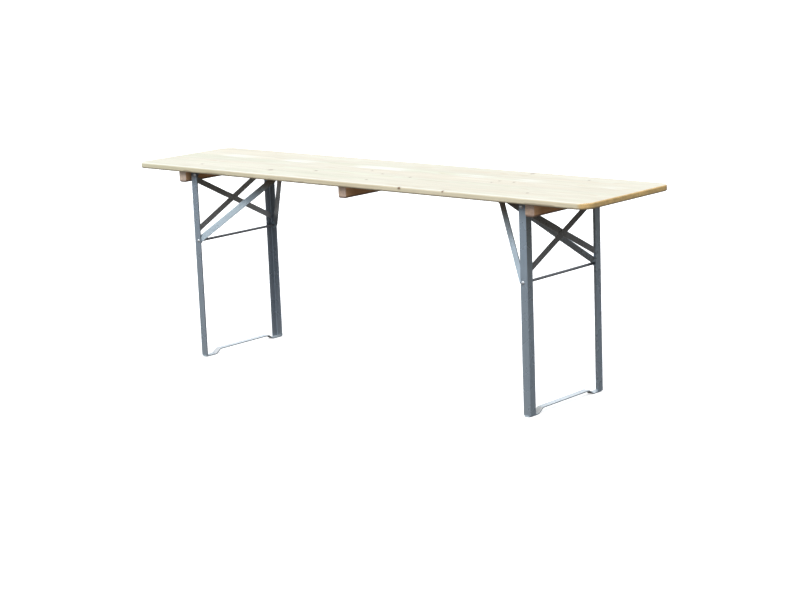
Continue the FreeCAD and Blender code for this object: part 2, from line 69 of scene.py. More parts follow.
class Graph:
    """Short names for building the nodes of one material."""

    def __init__(self, name):
        self.material = bpy.data.materials.new(name)
        self.material.use_nodes = True
        self.tree = self.material.node_tree
        self.shader = self.tree.nodes["Principled BSDF"]
        coordinates = self.tree.nodes.new("ShaderNodeTexCoord")
        self.place = coordinates.outputs["Object"]
        self.normal = coordinates.outputs["Normal"]

    def feed(self, socket, value):
        if isinstance(value, bpy.types.NodeSocket):
            self.tree.links.new(value, socket)
        else:
            socket.default_value = value

    def node(self, kind, *values, **settings):
        made = self.tree.nodes.new("ShaderNode" + kind)
        for key, setting in settings.items():
            setattr(made, key, setting)
        for socket, value in zip(made.inputs, values):
            self.feed(socket, value)
        return made

    def math(self, operation, *values):
        return self.node("Math", *values, operation=operation).outputs[0]

    def times(self, first, *others):
        """Product of masks and numbers."""
        for other in others:
            first = self.math("MULTIPLY", first, other)
        return first

    def vector(self, operation, *values):
        made = self.node("VectorMath", *values, operation=operation)
        return made.outputs["Value" if operation == "LENGTH" else "Vector"]

    def split(self, vector):
        return self.node("SeparateXYZ", vector).outputs

    def join(self, x, y, z):
        return self.node("CombineXYZ", x, y, z).outputs[0]

    def noise(self, vector, scale, detail=2.0, roughness=0.5):
        made = self.node("TexNoise", vector)
        made.inputs["Scale"].default_value = scale
        made.inputs["Detail"].default_value = detail
        made.inputs["Roughness"].default_value = roughness
        return made.outputs["Fac"]

    def stretched_noise(self, scales, detail=2.0, roughness=0.5):
        return self.noise(self.vector("MULTIPLY", self.place, scales), 1.0, detail, roughness)

    def smooth(self, value, low, high, start=0.0, end=1.0):
        """Smooth step of a value from low to high."""
        made = self.node("MapRange", value, low, high, start, end, interpolation_type="SMOOTHSTEP")
        return made.outputs[0]

    def mix(self, factor, first, second, blend="MIX"):
        made = self.node("Mix", data_type="RGBA", blend_type=blend)
        colours = [s for s in made.inputs if s.type == "RGBA"]
        self.feed(made.inputs[0], factor)
        self.feed(colours[0], first)
        self.feed(colours[1], second)
        return next(s for s in made.outputs if s.type == "RGBA")

    def ramp(self, value, stops):
        """Colour ramp from (position, colour) stops."""
        made = self.node("ValToRGB", value)
        for i, (position, colour) in enumerate(stops):
            element = made.color_ramp.elements[i] if i < 2 else made.color_ramp.elements.new(position)
            element.position = position
            element.color = rgb(*colour)
        return made.outputs[0]

    def toned(self, base, value, stops):
        """Base multiplied by a ramp of a value."""
        return self.mix(1.0, base, self.ramp(value, stops), "MULTIPLY")

    def tint(self, factor, base, colour):
        """Base multiplied by a colour, as far as the factor goes."""
        return self.mix(factor, base, rgb(*colour), "MULTIPLY")

    def shaded(self, base, masks, tints):
        """Base with the tint of each mask laid over it in turn."""
        for place, mask in masks.items():
            base = self.tint(mask, base, tints[place])
        return base

    def bump(self, height, strength, distance):
        made = self.node("Bump")
        made.inputs["Strength"].default_value = strength
        made.inputs["Distance"].default_value = distance
        self.feed(made.inputs["Height"], height)
        return made.outputs[0]

    def set(self, **values):
        """Feeds the shader's sockets; an underscore in a name stands for a space."""
        for key, value in values.items():
            self.feed(self.shader.inputs[key.replace("_", " ")], value)


# Wood
# Boards of the top: y and height of the trunk's centre, its slopes along the length, and the board's tone.
BOARD_PITHS = ((-0.215, 0.690), (-0.080, 0.835), (0.010, 0.700), (0.085, 0.860), (0.160, 0.680))
BOARD_SLOPES = ((0.012, 0.016), (-0.012, 0.010), (0.012, 0.004), (-0.012, -0.002), (0.012, -0.008))
BOARD_TONES = (0.99, 1.0, 0.975, 1.02, 0.985)
FRONT_BOARD, PALE_BOARD, HALF_WIDTH = 0, 3, 0.25

# Battens: place of the trunk's centre from the batten's middle and its height, slopes, and tones of the ends.
BATTENS = ("batten_left", "batten_middle", "batten_right")
BATTEN_PITHS = ((-0.012, 0.66), (0.0, 0.67), (0.012, 0.68))
BATTEN_SLOPE = (0.01, 0.012)
BATTEN_END_TONES = ((1.36, 1.50, 1.56), (1.21, 1.26, 1.28), (1.02, 1.02, 1.0))

# Colours: early and late wood on the faces, the same two on sawn ends, and knots.
SPRUCE = (rgb(0.785, 0.755, 0.63), rgb(0.68, 0.58, 0.40), rgb(0.92, 0.64, 0.275), rgb(0.67, 0.42, 0.15),
          rgb(0.24, 0.14, 0.075))
BATTEN = (rgb(0.58, 0.305, 0.145), rgb(0.42, 0.19, 0.08), rgb(0.62, 0.455, 0.365), rgb(0.47, 0.32, 0.235),
          rgb(0.16, 0.09, 0.05))

# Knots of the top: x, y, radius. Then the level they are cut at, and how they stretch.
KNOTS = (
    (-0.440, -0.154, 0.0125), (-0.264, -0.088, 0.0080), (0.026, -0.037, 0.0060), (-0.814, -0.160, 0.0070),
    (0.071, -0.174, 0.0065), (0.526, 0.216, 0.0110), (0.493, -0.243, 0.0046), (0.175, -0.053, 0.0075),
    (0.520, -0.013, 0.0055), (0.526, 0.025, 0.0060), (0.591, 0.024, 0.0065), (0.783, -0.148, 0.0070),
    (0.803, 0.179, 0.0060), (-0.067, 0.010, 0.0050),
)
KNOT_LEVEL, KNOT_DEPTH_SHARE, KNOT_STRETCH = 0.76, 0.3, (1.2, 1.1, 1.0)

# Knots in the front edge of the top: x, z, radius. Then how they stretch.
EDGE_KNOTS = ((0.294, 0.7605, 0.0058), (0.493, 0.7632, 0.0040))
EDGE_KNOT_STRETCH = (0.9, 0.7, 1.1)

# Parts of a knot: limits in its radii, strengths, and the rim's share of the late wood's colour.
KNOT_CORE, KNOT_RIM, KNOT_SWELL, KNOT_RAGGEDNESS = (1.0, 0.7), (2.1, 0.9), (5.0, 0.8), 0.5
KNOT_CORE_STRENGTH, KNOT_RIM_STRENGTH, KNOT_RIM_SHARES = 0.9, 0.5, (0.72,) * 3

# Noises of the grain: scales along and across the fibres, detail, roughness.
WANDER, FIBRES, CLOUDS = ((2.2, 9.0), 2.0, 0.45), ((7.0, 150.0), 3.0, 0.6), ((1.6, 14.0), 3.0, 0.55)
BLOTCHES, HUES, STREAKS = ((6.5, 55.0), 3.0, 0.6), ((1.1, 11.0), 2.0, 0.5), ((5.0, 90.0), 2.0, 0.5)

# Noises apart from the grain: scales along X, Y and Z.
RAGGED_SCALES, PATCH_SCALES, ARRIS_REACH_SCALES = (160.0, 160.0, 60.0), (38.0, 38.0, 60.0), (9.0, 2.0, 2.0)

# Growth rings: late wood through one ring and by the fibres, width of a ring, contrast, wander, swell.
LATE_WOOD = ((0.0, (0.06,) * 3), (0.45, (0.1,) * 3), (0.86, WHITE), (0.97, (0.05,) * 3))
LATE_BY_FIBRES = (0.5, 0.7)
BOARD_RING, BATTEN_RING = 0.0032, 0.0026
RING_CONTRAST, RING_WANDER, RING_SWELL = 0.62, 0.022, 0.012

# Tones by noise.
CLOUD_TONES = ((0.3, (0.9, 0.885, 0.85)), (0.7, WHITE))
FIBRE_TONES = ((0.32, (0.91, 0.895, 0.855)), (0.55, WHITE))
BLOTCH_TONES = ((0.3, (0.945, 0.94, 0.925)), (0.5, (0.995, 0.995, 0.99)), (0.68, (1.03, 1.03, 1.03)))
HUE_TONES = ((0.35, (0.95, 0.985, 0.955)), (0.5, WHITE), (0.65, (1.0, 0.97, 0.94)))
END_PATCH_TONES = ((0.32, (0.90, 0.89, 0.87)), (0.66, (1.14, 1.14, 1.14)))

# Faces told by the normal: sawn ends of the top and the battens, sides, upper face, all but the underside.
RIGHT_END, LEFT_END, BATTEN_END = (0.06, 0.5), (-0.62, -0.92), (0.06, 0.5)
SIDE_FACE, UPPER_FACE, NOT_UNDERSIDE = (0.75, 0.35), (0.6, 0.9), (-0.99, -0.9)
# The sides' tint is painted light: vertical faces are coloured brighter and warmer than the upper face.
LIT_SIDE_TINT = (1.20, 1.155, 1.075)

# Pale lengths of the fourth board: from x, to x, strength. Then how they fade and break up into streaks.
PALE_LENGTHS = ((-0.930, -0.740, 0.7), (-0.590, -0.410, 0.8), (-0.205, 0.060, 1.0), (0.275, 0.455, 0.7),
                (0.565, 0.690, 0.6), (0.950, 1.035, 0.6))
PALE_WOOD, PALE_STRENGTH, PALE_SHIFT = rgb(0.885, 0.88, 0.83), 0.8, 0.16
PALE_LOW_FADE, PALE_HIGH_FADE, PALE_BODY = (-0.03, 0.05), (0.03, -0.07), (0.33, 0.62, 0.1, 1.0)

# Painted light on the battens' sides near their open ends, and a painted highlight along the front edge of
# the top: limits from the edge.
LIT_END_TINT, LIT_END_FADE = (1.55, 1.85, 2.35), (-0.050, 0.004)
EDGE_HIGHLIGHT, EDGE_HIGHLIGHT_FADE, EDGE_HIGHLIGHT_STRENGTH = rgb(0.91, 0.90, 0.81), (0.018, 0.006), 0.6

# Painted shade along the lower arris: reach above the lower face, strength, colour. Then how unevenly far up
# it reaches, as shares of the reach.
BOARD_ARRIS = (0.0074, 0.88, rgb(0.225, 0.175, 0.105))
BATTEN_ARRIS = (0.011, 0.75, rgb(0.11, 0.07, 0.06))
ARRIS_REACH_LEVELS, ARRIS_REACH_SHARE, FULL_ARRIS_SHARE = (0.50, 0.64), 0.6, 0.3

# Glue seams: limits from the seam, strength, share of the late wood's colour, and margin at the outer edges.
SEAM_FADE, SEAM_STRENGTH, SEAM_SHARES, SEAM_MARGIN = (0.0011, 0.0003), 0.55, (0.45,) * 3, 0.01

# Surface: lacquer, roughness over a span of the fibres, relief.
BOARD_COAT, BATTEN_COAT, COAT_ROUGHNESS, WOOD_SPECULAR = 0.22, 0.1, 0.28, 0.45
WOOD_ROUGHNESS, WOOD_BUMP, LATE_RELIEF = (0.2, 0.8, 0.5, 0.62), (0.22, 0.0004), 0.5


def knot_masks(g, knots, edge_knots):
    """Inside of the knots, their dark rims, and the swell of the rings round them."""
    x, y, z = g.split(g.place)
    flat = g.join(x, y, g.times(z, KNOT_DEPTH_SHARE))
    ragged = g.stretched_noise(RAGGED_SCALES)
    offsets = []
    for knot_x, knot_y, radius in knots:
        away = g.vector("SUBTRACT", flat, (knot_x, knot_y, KNOT_LEVEL * KNOT_DEPTH_SHARE))
        offsets.append(g.vector("MULTIPLY", away, [stretch / radius for stretch in KNOT_STRETCH]))
    for knot_x, knot_z, radius in edge_knots:
        away = g.vector("SUBTRACT", g.place, (knot_x, -HALF_WIDTH, knot_z))
        offsets.append(g.vector("MULTIPLY", away, [stretch / radius for stretch in EDGE_KNOT_STRETCH]))
    core, rim, swell = 0.0, 0.0, 0.0
    for away in offsets:
        shortened = g.math("SUBTRACT", g.vector("LENGTH", away), KNOT_RAGGEDNESS / 2)
        distance = g.math("MULTIPLY_ADD", ragged, KNOT_RAGGEDNESS, shortened)
        core = g.math("MAXIMUM", core, g.smooth(distance, *KNOT_CORE))
        rim = g.math("MAXIMUM", rim, g.smooth(distance, *KNOT_RIM))
        swell = g.math("MAXIMUM", swell, g.smooth(distance, *KNOT_SWELL))
    return core, rim, swell


def wood(name, colours, pith, slope, along="X", ring_width=BOARD_RING, coat=BOARD_COAT, knots=(),
         edge_knots=(), seams=(), pale=(), arris=None, highlight_edge=None, lit_ends=None):
    """Sawn wood with rings round a trunk centre, so its faces show grain and its ends show rings.

    arris is the height and look of the lower edge's painted shade, highlight_edge the y of the front edge
    with a painted highlight, and lit_ends the distance from the middle to the ends with painted light.
    """
    early, late, end_early, end_late, knot_colour = colours
    g = Graph(name)
    x, y, z = g.split(g.place)
    normal_x, normal_y, normal_z = g.split(g.normal)
    if along == "X":
        length, across = x, y
        end_share = g.math("MAXIMUM", g.smooth(normal_x, *RIGHT_END), g.smooth(normal_x, *LEFT_END))
    else:
        length, across = y, x
        end_share = g.smooth(g.math("ABSOLUTE", normal_y), *BATTEN_END)

    def grain_noise(noise):
        (run, cross), detail, roughness = noise
        scales = (run, cross, cross) if along == "X" else (cross, run, cross)
        return g.stretched_noise(scales, detail, roughness)

    core, rim, swell = knot_masks(g, knots, edge_knots)
    side = g.math("SUBTRACT", across, g.math("MULTIPLY_ADD", length, slope[0], pith[0]))
    lift = g.math("SUBTRACT", z, g.math("MULTIPLY_ADD", length, slope[1], pith[1]))
    radius = g.vector("LENGTH", g.join(0.0, side, lift))
    radius = g.math("MULTIPLY_ADD", grain_noise(WANDER), RING_WANDER, radius)
    radius = g.math("MULTIPLY_ADD", swell, RING_SWELL, radius)
    late_share = g.ramp(g.math("FRACT", g.math("DIVIDE", radius, ring_width)), LATE_WOOD)
    fibres = grain_noise(FIBRES)

    streaked = g.times(g.math("MULTIPLY_ADD", fibres, *LATE_BY_FIBRES), late_share, RING_CONTRAST)
    face = g.mix(streaked, early, late)
    face = g.toned(face, grain_noise(CLOUDS), CLOUD_TONES)
    face = g.toned(face, fibres, FIBRE_TONES)
    # Painted light: vertical faces tinted brighter and warmer than the upper face.
    face = g.tint(g.smooth(g.math("ABSOLUTE", normal_z), *SIDE_FACE), face, LIT_SIDE_TINT)
    face = g.toned(face, grain_noise(BLOTCHES), BLOTCH_TONES)
    face = g.toned(face, grain_noise(HUES), HUE_TONES)
    if pale:
        streaks = grain_noise(STREAKS)
        shifted = g.math("MULTIPLY_ADD", streaks, PALE_SHIFT, g.math("SUBTRACT", x, PALE_SHIFT / 2))
        body = g.smooth(streaks, *PALE_BODY)
        for low, high, strength in pale:
            after_low = g.smooth(shifted, *(low + fade for fade in PALE_LOW_FADE))
            before_high = g.smooth(shifted, *(high + fade for fade in PALE_HIGH_FADE))
            face = g.mix(g.times(after_low, before_high, body, PALE_STRENGTH * strength), face, PALE_WOOD)
    # Painted light: the battens' sides get paler towards their open ends, where more light reaches them.
    if lit_ends is not None:
        end_light = g.smooth(g.math("ABSOLUTE", length), *(lit_ends + fade for fade in LIT_END_FADE))
        face = g.tint(end_light, face, LIT_END_TINT)

    end = g.toned(g.mix(late_share, end_early, end_late), fibres, FIBRE_TONES)
    end = g.toned(end, g.stretched_noise(PATCH_SCALES), END_PATCH_TONES)
    colour = g.mix(end_share, face, end)
    # Painted highlight along the rounded front edge of the top.
    if highlight_edge is not None:
        near = g.smooth(y, *(highlight_edge + fade for fade in EDGE_HIGHLIGHT_FADE))
        colour = g.mix(g.times(near, g.smooth(normal_z, *UPPER_FACE), EDGE_HIGHLIGHT_STRENGTH), colour, EDGE_HIGHLIGHT)
    # Painted shade along the lower arris, reaching unevenly along the length; the flat underside keeps its
    # wood colour.
    if arris is not None:
        low, reach, strength, dark = arris
        limit = low + reach
        if along == "X":
            reach_noise = g.smooth(g.stretched_noise(ARRIS_REACH_SCALES), *ARRIS_REACH_LEVELS)
            limit = g.math("MULTIPLY_ADD", reach_noise, ARRIS_REACH_SHARE * reach, limit)
        near = g.smooth(z, limit, low + FULL_ARRIS_SHARE * reach)
        colour = g.mix(g.times(near, g.smooth(normal_z, *NOT_UNDERSIDE), strength), colour, dark)
    if knots or edge_knots:
        colour = g.mix(g.times(rim, KNOT_RIM_STRENGTH), colour, scaled_colour(late, KNOT_RIM_SHARES))
        colour = g.mix(g.times(core, KNOT_CORE_STRENGTH), colour, knot_colour)
    for seam in seams:
        line = g.smooth(g.math("ABSOLUTE", g.math("SUBTRACT", across, seam)), *SEAM_FADE)
        colour = g.mix(g.times(line, SEAM_STRENGTH), colour, scaled_colour(late, SEAM_SHARES))
    relief = g.bump(g.math("ADD", g.times(late_share, LATE_RELIEF), fibres), *WOOD_BUMP)
    g.set(Base_Color=colour, Roughness=g.smooth(fibres, *WOOD_ROUGHNESS), Normal=relief,
          Specular_IOR_Level=WOOD_SPECULAR, Coat_Weight=coat, Coat_Roughness=COAT_ROUGHNESS)
    return g.material


# Paint
# Paints: colour, share of metal, seed of the noise.
LEG_PAINT = (rgb(0.445, 0.53, 0.61), 0.5, 0.0)
# The foot bars' paler paint is painted light: the same grey paint, coloured as lit from above.
FOOT_PAINT = (rgb(0.62, 0.70, 0.75), 0.15, 1.7)
STRUT_PAINT = (rgb(0.455, 0.545, 0.61), 0.6, 3.1)
BRACE_PAINT = (rgb(0.49, 0.495, 0.505), 0.5, 5.3)
# The hinge brackets' dark paint is painted shade: they sit in the shadow under the top.
BRACKET_PAINT = (rgb(0.16, 0.155, 0.16), 0.4, 7.9)

# Noises of the paint: scale, detail, roughness. Then how a seed shifts them.
PEEL, PAINT_CLOUDS, SPECKS = (900.0, 2.0, 0.5), (9.0, 3.0, 0.55), (230.0, 3.0, 0.6)
SEED_SHIFT = (1.0, 0.7, 0.3)

# Surface: tones, roughness as a factor and least value, relief.
PAINT_TONES = ((0.3, (0.95, 0.95, 0.96)), (0.7, (1.03, 1.03, 1.02)))
PAINT_ROUGHNESS, PAINT_BUMP = (0.16, 0.20), (0.045, 0.0003)

# Rubbed specks and dust: colour, strength, limits.
RUBBED_PAINT, RUBBED_STRENGTH = rgb(0.50, 0.52, 0.53), 0.12
RUBBED_SPECKS, RUBBED_CLOUDS = (0.68, 0.74), (0.45, 0.65)
DUST, DUST_STRENGTH = rgb(0.42, 0.40, 0.36), 0.2
DUST_HEIGHTS, DUST_CLOUDS = (0.12, 0.0), (0.35, 0.7)

# Painted shade under the top: its tint, and the heights between which it sets in.
STRUT_TOP_SHADE = ((0.45, 0.29, 0.19), (0.64, 0.70))
BRACE_TOP_SHADE = ((0.52, 0.49, 0.42), (0.47, 0.70))

# Legs: tints by place, all painted light and shade, heights between which they set in, and limits of the
# normals and of y.
LEG_TINTS = {
    "inside": (0.82, 0.79, 0.78), "root": (1.30, 1.34, 1.38), "inside_high": (0.60, 0.58, 0.55),
    "lit_outer": (1.10, 1.13, 1.17), "front_outboard": (0.54, 0.51, 0.45), "back_outboard": (0.86, 0.82, 0.76),
    "hinge": (0.45, 0.42, 0.42),
}
LEG_HEIGHTS = {
    "inside_high": (0.35, 0.62), "lit_outer": (0.30, 0.62), "front_outboard": (0.25, 0.74),
    "back_outboard": (0.30, 0.70), "hinge": (0.712, 0.730),
}
OUTER_FACE, INNER_FACE, INSIDE_ANGLE, ROOT_ANGLE = (0.4, 0.8), (-0.4, -0.8), (-0.2, -0.7), (-1.12, -1.34)
FRONT_HALF, BACK_HALF = (0.1, -0.1), (-0.1, 0.1)

# Struts: painted shade and highlight by place, limits of the normals, and where the right front arm gets its
# painted highlight.
STRUT_TINTS = {"under": (0.74, 0.66, 0.61), "rubbed_and_lit": (1.6, 1.6, 1.62)}
STRUT_UNDER, STRUT_FRONT = (-0.05, -0.25), (-0.4, -0.7)
RIGHT_STRUT, FRONT_ARM, LIT_ARM_FROM, LIT_ARM_TO = (0.3, 0.4), (0.0, -0.03), (0.53, 0.60), (0.675, 0.62)

# Foot bars: painted light and shade by place, and limits of the normals.
FOOT_TINTS = {"risers": (1.45, 1.33, 1.26), "pockets": (0.12, 0.12, 0.12), "right_side": (0.75, 0.75, 0.76)}
RISER_FRONT, RISER_UP, POCKET_INWARD, POCKET_DOWN = (-0.25, -0.55), (0.1, 0.4), (-0.2, -0.5), (-0.1, -0.4)
FOOT_RIGHT = (0.5, 0.8)

# Braces: painted shade by place, and limits of the normal.
BRACE_TINTS, BRACE_OUTBOARD = {"outboard": (0.63, 0.63, 0.63)}, (0.0, 0.6)


def paint(name, finish, shades=None, top_shade=None):
    """Satin grey paint on steel: fine orange peel, some rubbed specks, and some dust low down."""
    colour, metallic, seed = finish
    g = Graph(name)
    shifted = g.vector("ADD", g.place, [seed * share for share in SEED_SHIFT])
    peel, clouds, specks = (g.noise(shifted, *noise) for noise in (PEEL, PAINT_CLOUDS, SPECKS))
    height = g.split(g.place)[2]
    base = g.toned(colour, clouds, PAINT_TONES)
    # Painted shade high up, where the top shades the steel.
    if top_shade:
        tint, heights = top_shade
        base = g.tint(g.smooth(height, *heights), base, tint)
    rubbed_and_lit = g.times(g.smooth(specks, *RUBBED_SPECKS), g.smooth(clouds, *RUBBED_CLOUDS), RUBBED_STRENGTH)
    base = g.mix(rubbed_and_lit, base, RUBBED_PAINT)
    dusty = g.times(g.smooth(height, *DUST_HEIGHTS), g.smooth(clouds, *DUST_CLOUDS), DUST_STRENGTH)
    base = g.mix(dusty, base, DUST)
    if shades:
        base = shades(g, base)
    roughness = g.math("MULTIPLY_ADD", clouds, *PAINT_ROUGHNESS)
    g.set(Base_Color=base, Metallic=metallic, Roughness=roughness, Normal=g.bump(peel, *PAINT_BUMP))
    return g.material


def leg_shades(g, base):
    """Painted light, bluer on the outer faces and angle roots; painted shade inside the angles, at the hinge
    and high up.
    """
    x, y, height = g.split(g.place)
    normal_x, normal_y, _ = g.split(g.normal)
    out_x = g.times(normal_x, g.math("SIGN", x))
    out_y = g.times(normal_y, g.math("SIGN", y))
    outward = g.math("ADD", out_x, out_y)
    outboard = g.smooth(out_x, *OUTER_FACE)
    high = {place: g.smooth(height, *heights) for place, heights in LEG_HEIGHTS.items()}
    # Each tint below is painted light or shade: lit outer faces and roots; shade inside, high up and at the
    # hinge.
    masks = {
        "inside": g.smooth(outward, *INSIDE_ANGLE),
        "root": g.smooth(outward, *ROOT_ANGLE),
        "inside_high": g.times(g.smooth(out_y, *INNER_FACE), high["inside_high"]),
        "lit_outer": g.times(g.smooth(out_y, *OUTER_FACE), high["lit_outer"]),
        "front_outboard": g.times(outboard, g.smooth(y, *FRONT_HALF), high["front_outboard"]),
        "back_outboard": g.times(outboard, g.smooth(y, *BACK_HALF), high["back_outboard"]),
        "hinge": high["hinge"],
    }
    return g.shaded(base, masks, LEG_TINTS)


def strut_shades(g, base):
    """Painted shade on the faces that look down, and a painted highlight along the right front arm."""
    x, y, height = g.split(g.place)
    _, normal_y, normal_z = g.split(g.normal)
    front_face = g.times(g.smooth(x, *RIGHT_STRUT), g.smooth(y, *FRONT_ARM), g.smooth(normal_y, *STRUT_FRONT))
    reach = g.times(g.smooth(height, *LIT_ARM_FROM), g.smooth(height, *LIT_ARM_TO))
    # Painted shade under the struts and a painted highlight on the right front arm.
    masks = {"under": g.smooth(normal_z, *STRUT_UNDER), "rubbed_and_lit": g.times(front_face, reach)}
    return g.shaded(base, masks, STRUT_TINTS)


def foot_shades(g, base):
    """Painted light on the front risers, painted shade in the pockets under the risers and on the right side.
    """
    y = g.split(g.place)[1]
    normal_x, normal_y, normal_z = g.split(g.normal)
    out_y = g.times(normal_y, g.math("SIGN", y))
    masks = {
        "risers": g.times(g.smooth(normal_y, *RISER_FRONT), g.smooth(normal_z, *RISER_UP)),
        "pockets": g.times(g.smooth(out_y, *POCKET_INWARD), g.smooth(normal_z, *POCKET_DOWN)),
        "right_side": g.smooth(normal_x, *FOOT_RIGHT),
    }
    return g.shaded(base, masks, FOOT_TINTS)


def brace_shades(g, base):
    """Painted shade on the faces away from the middle of the table."""
    x = g.split(g.place)[0]
    out_x = g.times(g.split(g.normal)[0], g.math("SIGN", x))
    return g.shaded(base, {"outboard": g.smooth(out_x, *BRACE_OUTBOARD)}, BRACE_TINTS)


# Bare metal
# Spacer rod: colour between the legs and on the heads, where |y| tells the heads, and its surface.
ROD_DARK, ROD_BRIGHT, ROD_HEAD = rgb(0.27, 0.28, 0.30), rgb(0.62, 0.65, 0.68), (0.2112, 0.2120)
ROD_TONES = ((0.3, (0.88, 0.88, 0.89)), (0.7, (1.06, 1.06, 1.05)))
ROD_METALLIC, ROD_ROUGHNESS, ROD_BUMP = 0.7, (0.18, 0.2), (0.1, 0.0002)

# Plated steel: colour, least roughness, scale of the crystals. Then its surface.
ZINC = (rgb(0.58, 0.60, 0.62), 0.28, 160.0)
BRIGHT = (rgb(0.72, 0.73, 0.74), 0.16, 400.0)
SPANGLE_TONES = ((0.0, (0.86, 0.87, 0.88)), (1.0, (1.05, 1.05, 1.04)))
MARK_ROUGHNESS, CRYSTAL_ROUGHNESS, PLATE_BUMP = 0.22, 0.08, (0.08, 0.0002)

# Drawing marks: scales along X, Y and Z, detail, roughness.
ROD_MARKS, PLATE_MARKS = ((500.0, 60.0, 500.0), 3.0, 0.6), ((40.0, 400.0, 900.0), 3.0, 0.6)


def rod_finish(name):
    """Drawn rod, dark between the legs and polished on its peened heads."""
    g = Graph(name)
    head = g.smooth(g.math("ABSOLUTE", g.split(g.place)[1]), *ROD_HEAD)
    marks = g.stretched_noise(*ROD_MARKS)
    base = g.toned(g.mix(head, ROD_DARK, ROD_BRIGHT), marks, ROD_TONES)
    roughness = g.math("MULTIPLY_ADD", marks, *ROD_ROUGHNESS)
    g.set(Base_Color=base, Metallic=ROD_METALLIC, Roughness=roughness, Normal=g.bump(marks, *ROD_BUMP))
    return g.material


def plated(name, finish):
    """Bare or zinc-plated steel with a faint crystal pattern and fine drawing marks."""
    colour, least_roughness, cells = finish
    g = Graph(name)
    crystals = g.node("TexVoronoi", g.place)
    crystals.inputs["Scale"].default_value = cells
    spangle = g.split(crystals.outputs["Color"])[0]
    marks = g.stretched_noise(*PLATE_MARKS)
    base = g.toned(colour, spangle, SPANGLE_TONES)
    crystal_share = g.math("MULTIPLY_ADD", spangle, CRYSTAL_ROUGHNESS, least_roughness)
    roughness = g.math("ADD", g.times(marks, MARK_ROUGHNESS), crystal_share)
    g.set(Base_Color=base, Metallic=1.0, Roughness=roughness, Normal=g.bump(marks, *PLATE_BUMP))
    return g.material


# Dressing of the CAD nodes
def dress(obj, material):
    obj.data.materials.clear()
    obj.data.materials.append(material)


def dress_top():
    for i, (pith, slope, tone) in enumerate(zip(BOARD_PITHS, BOARD_SLOPES, BOARD_TONES)):
        name = f"top_board_{i + 1}"
        low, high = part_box(name)
        knots = [knot for knot in KNOTS if low.y - SEAM_MARGIN < knot[1] < high.y + SEAM_MARGIN]
        seams = [edge for edge in (low.y, high.y) if abs(abs(edge) - HALF_WIDTH) > SEAM_MARGIN]
        colours = [scaled_colour(colour, (tone,) * 3) for colour in SPRUCE]
        material = wood(f"spruce_{i + 1}", colours, pith, slope, knots=knots, seams=seams,
                        edge_knots=EDGE_KNOTS if i == FRONT_BOARD else (),
                        pale=PALE_LENGTHS if i == PALE_BOARD else (),
                        arris=(low.z, *BOARD_ARRIS), highlight_edge=low.y if i == FRONT_BOARD else None)
        dress(nodes[name], material)


def dress_battens():
    early, late, end_early, end_late, knot_colour = BATTEN
    for i, (name, (offset, height), tones) in enumerate(zip(BATTENS, BATTEN_PITHS, BATTEN_END_TONES)):
        low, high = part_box(name)
        pith = ((low.x + high.x) / 2 + offset, height)
        colours = (early, late, scaled_colour(end_early, tones), scaled_colour(end_late, tones), knot_colour)
        material = wood(f"batten_wood_{i + 1}", colours, pith, BATTEN_SLOPE, "Y", BATTEN_RING, BATTEN_COAT,
                        arris=(low.z, *BATTEN_ARRIS), lit_ends=high.y)
        dress(nodes[name], material)


def dress_frame():
    leg_paint = paint("grey_paint", LEG_PAINT, leg_shades)
    foot_paint = paint("foot_paint", FOOT_PAINT, foot_shades)
    strut_paint = paint("strut_paint", STRUT_PAINT, strut_shades, STRUT_TOP_SHADE)
    brace_paint = paint("brace_paint", BRACE_PAINT, brace_shades, BRACE_TOP_SHADE)
    bracket_paint = paint("bracket_paint", BRACKET_PAINT)
    rod_metal = rod_finish("rod_finish")
    zinc = plated("zinc_steel", ZINC)
    bright = plated("bright_steel", BRIGHT)
    by_slot = {"grey_paint": leg_paint, "zinc_steel": zinc, "bright_steel": bright}
    for part in frame["record"]["subparts"]:
        if part["material_slot"] in by_slot:
            dress(nodes[part["node"]], by_slot[part["material_slot"]])
    for side in ("left", "right"):
        for end in ("front", "back"):
            dress(nodes[f"{side}_strut_arm_{end}"], strut_paint)
            dress(nodes[f"{side}_hinge_bracket_{end}"], bracket_paint)
        dress(nodes[f"{side}_foot_bar"], foot_paint)
        dress(nodes[f"{side}_spacer_rod"], rod_metal)
        for kind in ("flat", "stepped"):
            dress(nodes[f"{side}_cross_brace_{kind}"], brace_paint)
    make_screws(bright)
    make_welds(leg_paint)


# Small pieces
# Screws: height of each kind's tip above the lowest face, radius and height up the head, shank and recess.
SCREW_TIPS = (("batten_screws", 0.0445), ("bracket_screws", 0.0205), ("rail_screws", 0.0195),
              ("catch_screws", 0.0195))
HEAD_PROFILE = ((0.0045, 0.0025), (0.0045, 0.0014), (0.0042, 0.0007), (0.0036, 0.0002), (0.0029, 0.0))
SHANK_RADIUS, SHANK_START, TAPER_RADIUS, TAPER_SHARE, TIP_RADIUS = 0.0022, 0.0026, 0.0020, 0.75, 0.0003
RECESS_ARM, RECESS_SLOT, RECESS_DEPTH, RECESS_TAPER = 0.0024, 0.00055, 0.0014, 0.6
SCREW_SIDES, SCREW_SPACING, LOW_MARGIN = 24, 0.008, 0.0001

# Leg wall, and the braces' width, run and climb between the middles of the legs.
WALL, BRACE_WIDTH, BRACE_RUN, BRACE_CLIMB = 0.003, 0.022, 0.393, 0.201

# Weld beads: sizes, points along and round a bead, how deep it sits, how its ends taper, and its ripples.
TOE_BEAD, BEAD = 0.0022, 0.0024
BEAD_STEP, LEAST_STEPS, BEAD_POINTS, BEAD_SINK = 0.0006, 8, 6, 0.0004
BEAD_TAPER, BEAD_END, BEAD_HOLLOW = 6, 0.25, 0.18
RIPPLE, RIPPLE_PITCH, RIPPLE_SPREAD = 0.12, 0.0022, 0.04

